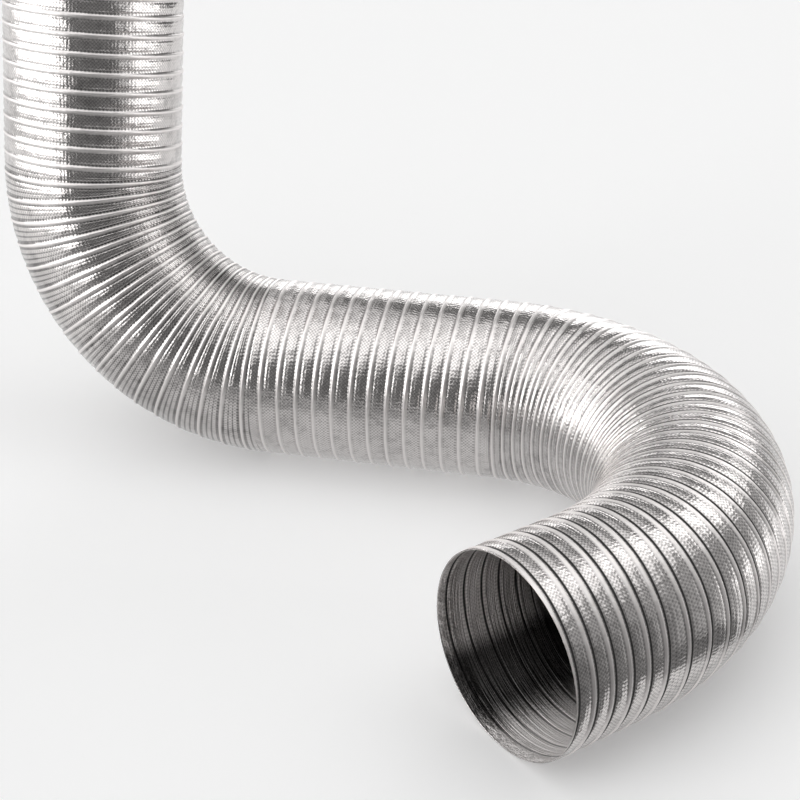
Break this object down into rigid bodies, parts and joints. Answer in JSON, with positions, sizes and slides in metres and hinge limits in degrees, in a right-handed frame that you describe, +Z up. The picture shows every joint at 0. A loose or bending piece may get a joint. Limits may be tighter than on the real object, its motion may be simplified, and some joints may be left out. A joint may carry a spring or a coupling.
{
  "type": "flexible air duct",
  "caption": "Semi-rigid corrugated aluminium duct for a 125 mm spigot, bent through a wide floor bend, a straight run and a riser into an upright leg",
  "frame": {"origin": "on the floor below the middle of the part's box", "axes": "+Z up, -X along the straight run from the floor bend to the riser, +Y towards the run from the mouth"},
  "size_m": [0.5832, 0.5081, 0.5203],
  "materials": {
    "strip": "bright rolled aluminium foil strip, finely corrugated, with crosswise crinkles",
    "strip_folds": "the same bright aluminium strip, where its corrugations open and close"
  },
  "bodies": {
    "mouth": {"mouth_end": "strip"},
    "neck": {"mouth_swing_folds": "strip_folds", "mouth_neck": "strip"},
    "bend_entry": {"mouth_nod_folds": "strip_folds", "near_bend": "strip"},
    "base_bend": {"mid_bend_folds": "strip_folds", "far_bend": "strip", "run_swing_folds": "strip_folds"},
    "run_start": {"run_near": "strip", "run_stretch_folds": "strip_folds"},
    "run_end": {"run_far": "strip", "riser_foot_folds": "strip_folds"},
    "riser": {"riser_bend": "strip", "riser_head_folds": "strip_folds"},
    "leg_base": {"leg_foot": "strip", "leg_sway_folds": "strip_folds"},
    "leg_mid": {"leg_middle": "strip", "leg_stretch_folds": "strip_folds"},
    "leg_top": {"leg_end": "strip"}
  },
  "joints": [
    {"name": "bend_open", "type": "hinge", "parent": "base_bend", "child": "bend_entry", "pos_m": [0.2115, 0.03094, 0.0636], "axis": [0, 0, 1], "range_deg": [-3, 43], "deforming": ["mid_bend_folds"]},
    {"name": "mouth_nod", "type": "hinge", "parent": "bend_entry", "child": "neck", "pos_m": [0.22874, -0.05829, 0.0636], "axis": [-0.9962, 0.0872, 0], "range_deg": [-16, 16], "deforming": ["mouth_nod_folds"]},
    {"name": "mouth_swing", "type": "hinge", "parent": "neck", "child": "mouth", "pos_m": [0.19839, -0.14405, 0.0636], "axis": [0, 0, 1], "range_deg": [-6, 40], "deforming": ["mouth_swing_folds"]},
    {"name": "run_swing", "type": "hinge", "parent": "base_bend", "child": "run_start", "pos_m": [0.10776, 0.10552, 0.0636], "axis": [0, 0, -1], "range_deg": [-3, 43], "deforming": ["run_swing_folds"]},
    {"name": "run_stretch", "type": "slide", "parent": "run_start", "child": "run_end", "axis": [-1, 0, 0], "range_m": [-0.032, 0.032], "deforming": ["run_stretch_folds"]},
    {"name": "riser_foot", "type": "hinge", "parent": "run_end", "child": "riser", "pos_m": [-0.11382, 0.10552, 0.0636], "axis": [0, -0.9816, 0.1908], "range_deg": [-2, 44], "deforming": ["riser_foot_folds"]},
    {"name": "riser_head", "type": "hinge", "parent": "riser", "child": "leg_base", "pos_m": [-0.22772, 0.12742, 0.17628], "axis": [0, -0.9816, 0.1908], "range_deg": [-2, 44], "deforming": ["riser_head_folds"]},
    {"name": "leg_sway", "type": "hinge", "parent": "leg_base", "child": "leg_mid", "pos_m": [-0.22701, 0.14485, 0.2659], "axis": [1, -0.0015, -0.0076], "range_deg": [-23, 23], "deforming": ["leg_sway_folds"]},
    {"name": "leg_stretch", "type": "slide", "parent": "leg_mid", "child": "leg_top", "axis": [0.0078, 0.1908, 0.9816], "range_m": [-0.038, 0.038], "deforming": ["leg_stretch_folds"]}
  ]
}
